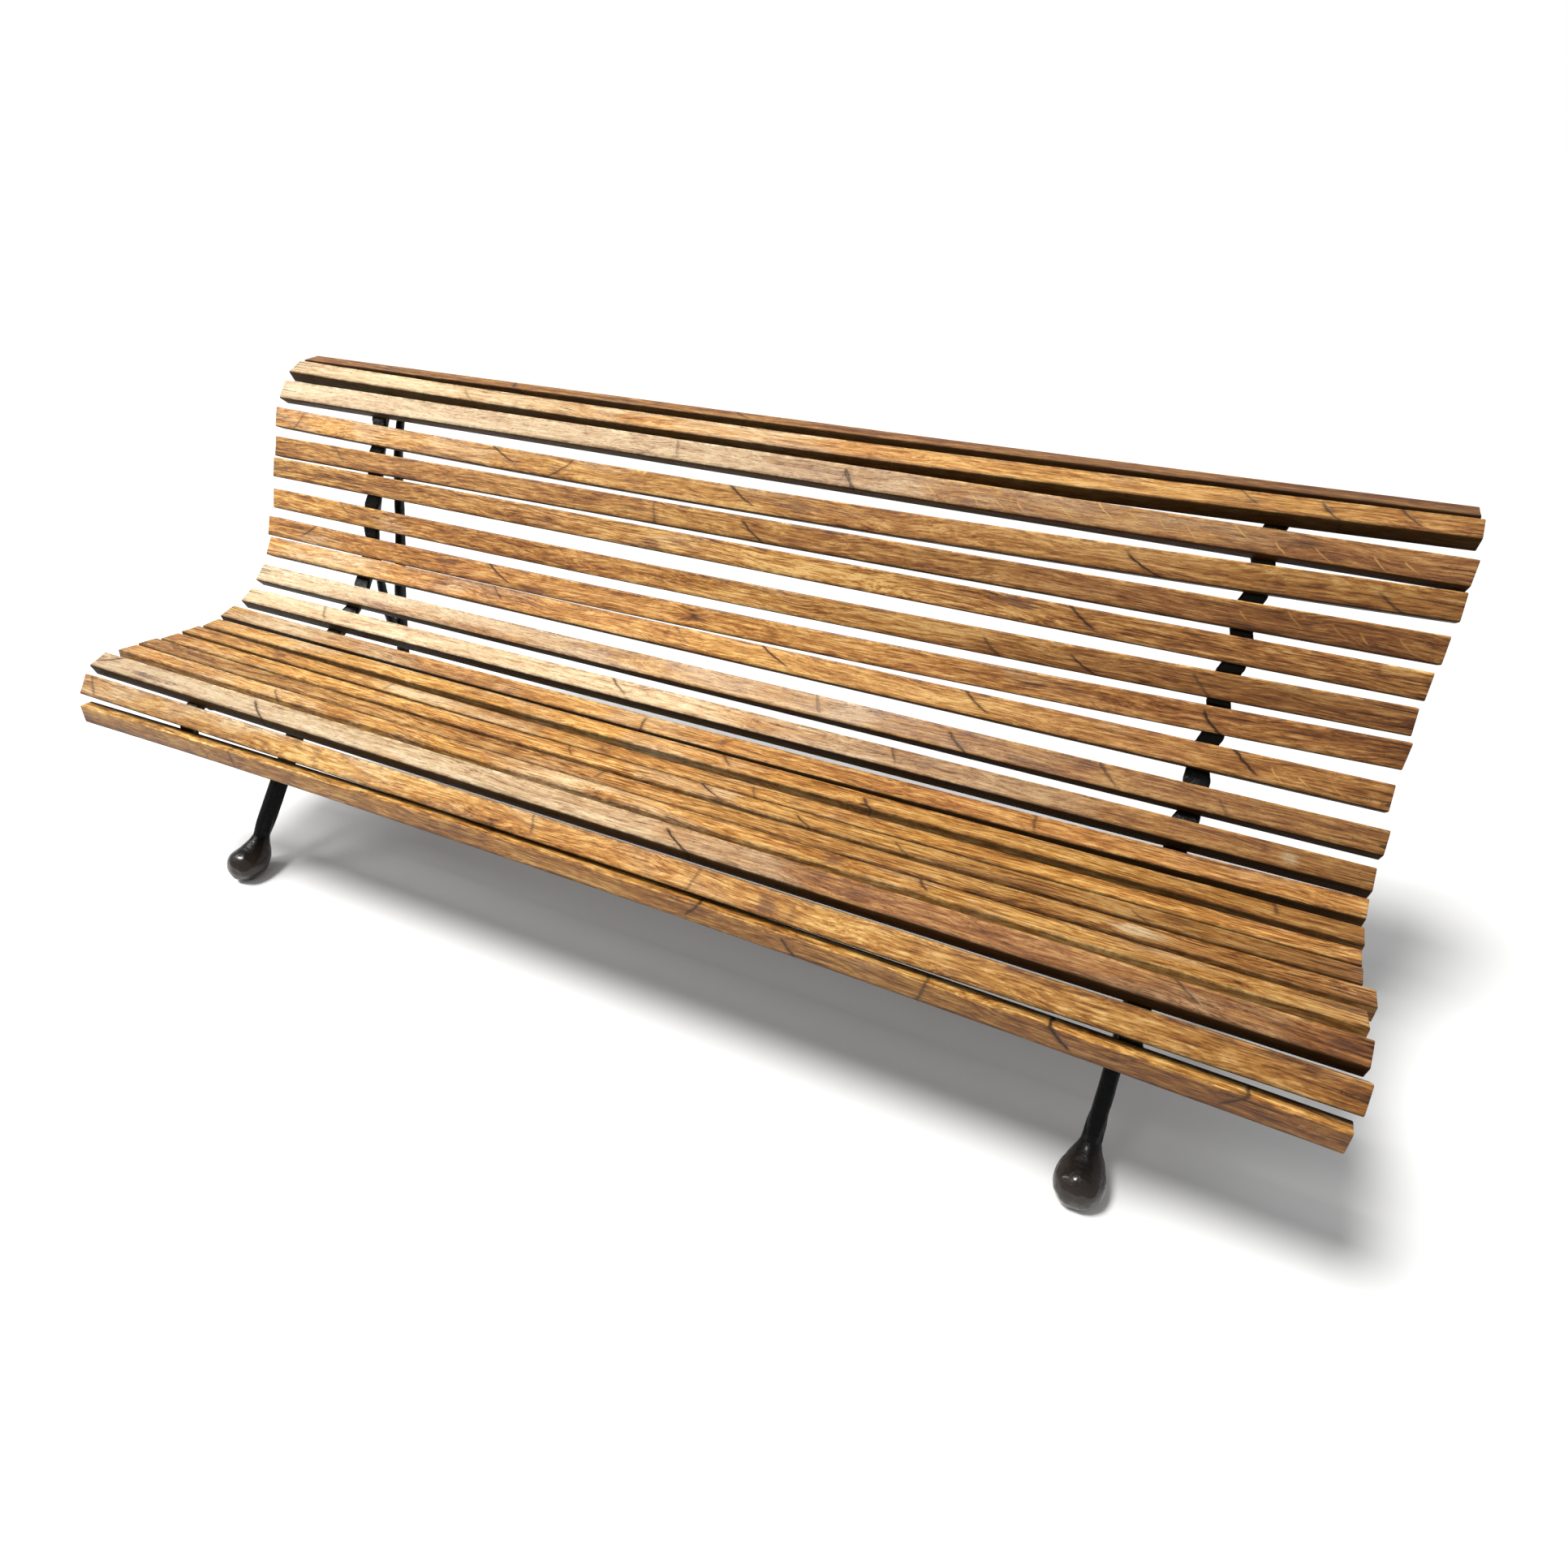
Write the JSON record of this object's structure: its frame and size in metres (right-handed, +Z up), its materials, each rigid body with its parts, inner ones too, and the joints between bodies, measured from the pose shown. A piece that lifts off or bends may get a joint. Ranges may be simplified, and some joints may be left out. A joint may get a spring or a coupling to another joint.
{
  "type": "street bench",
  "caption": "Long slatted street bench with a curved seat, a high back with a rolled crest, and two cast supports on splayed legs.",
  "frame": {"origin": "middle of the bench's footprint, at ground level", "axes": "+X along the bench to the right of someone standing in front of it, +Y from the front edge of the seat to the back, +Z up"},
  "size_m": [2.2181, 0.7762, 0.8179],
  "materials": {
    "oak": "varnished oak, semi-gloss, weathered and checked",
    "iron": "cast iron under thick glossy black paint",
    "screw": "blackened steel, slightly rusted"
  },
  "bodies": {
    "root": {"seat_slat_1": "oak", "seat_slat_2": "oak", "seat_slat_3": "oak", "seat_slat_4": "oak", "seat_slat_5": "oak", "seat_slat_6": "oak", "seat_slat_7": "oak", "seat_slat_8": "oak", "seat_slat_9": "oak", "back_slat_1": "oak", "back_slat_2": "oak", "back_slat_3": "oak", "back_slat_4": "oak", "back_slat_5": "oak", "back_slat_6": "oak", "back_slat_7": "oak", "back_slat_8": "oak", "back_slat_9": "oak", "top_slat_front": "oak", "top_slat_rear": "oak", "support_left": "iron", "support_right": "iron", "screws_left": "screw", "screws_right": "screw", "washers_left": "screw", "washers_right": "screw"}
  },
  "joints": []
}
